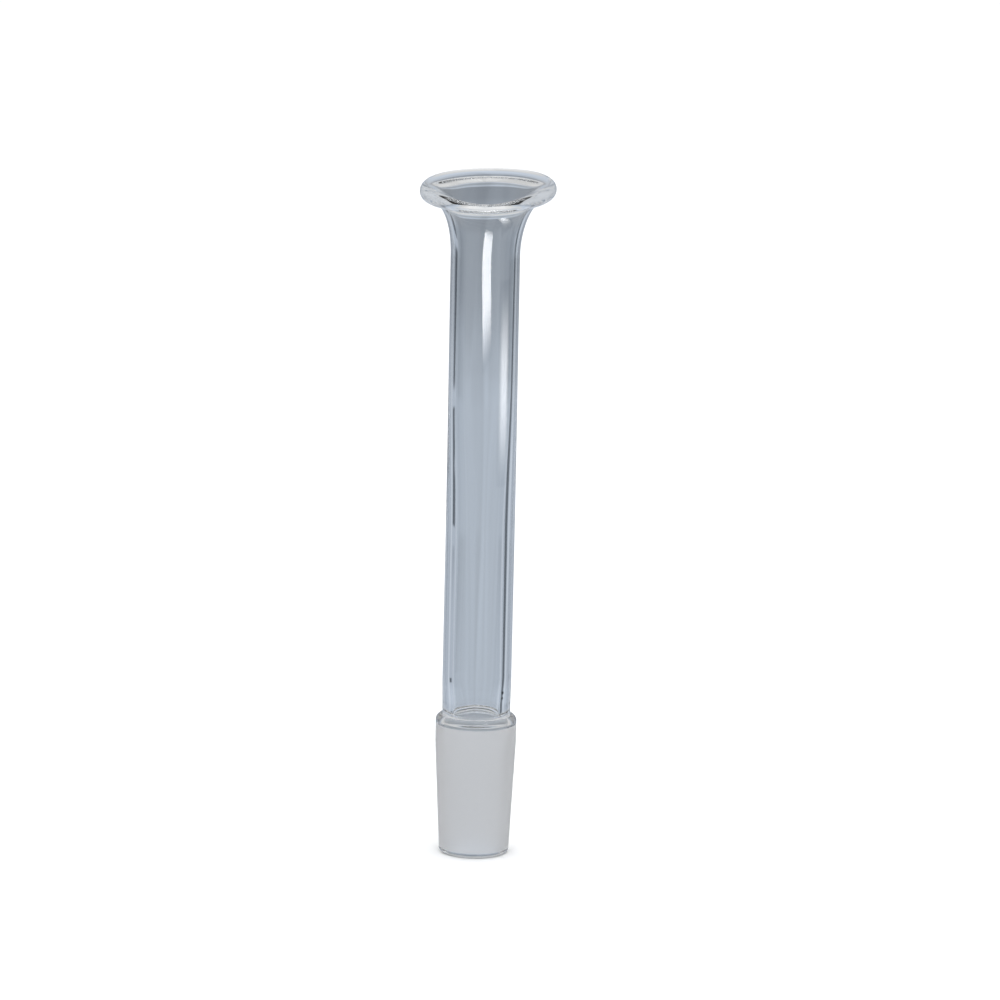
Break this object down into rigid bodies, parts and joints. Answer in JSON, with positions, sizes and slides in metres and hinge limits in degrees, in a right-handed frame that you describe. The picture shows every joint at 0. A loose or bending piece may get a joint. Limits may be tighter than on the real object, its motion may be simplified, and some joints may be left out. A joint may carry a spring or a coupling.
{
  "type": "glass tube adapter with flared mouth and ground male joint",
  "caption": "Straight clear glass tube with a flared, rolled mouth at the top and a frosted tapered male joint at the bottom.",
  "frame": {"origin": "centre of the flat end face of the joint's tip, on the axis", "axes": "+Z along the tube's axis, from the ground joint towards the flared mouth; X and Y are any two directions across it"},
  "size_m": [0.0244, 0.0244, 0.123],
  "materials": {
    "clear_glass": "fire-polished, drawn borosilicate",
    "ground_glass": "fine ground, frosted"
  },
  "bodies": {
    "root": {"rolled_lip": "clear_glass", "flared_mouth": "clear_glass", "tube": "clear_glass", "joint_shoulder": "clear_glass", "ground_joint": "ground_glass", "joint_tip": "clear_glass"}
  },
  "joints": []
}
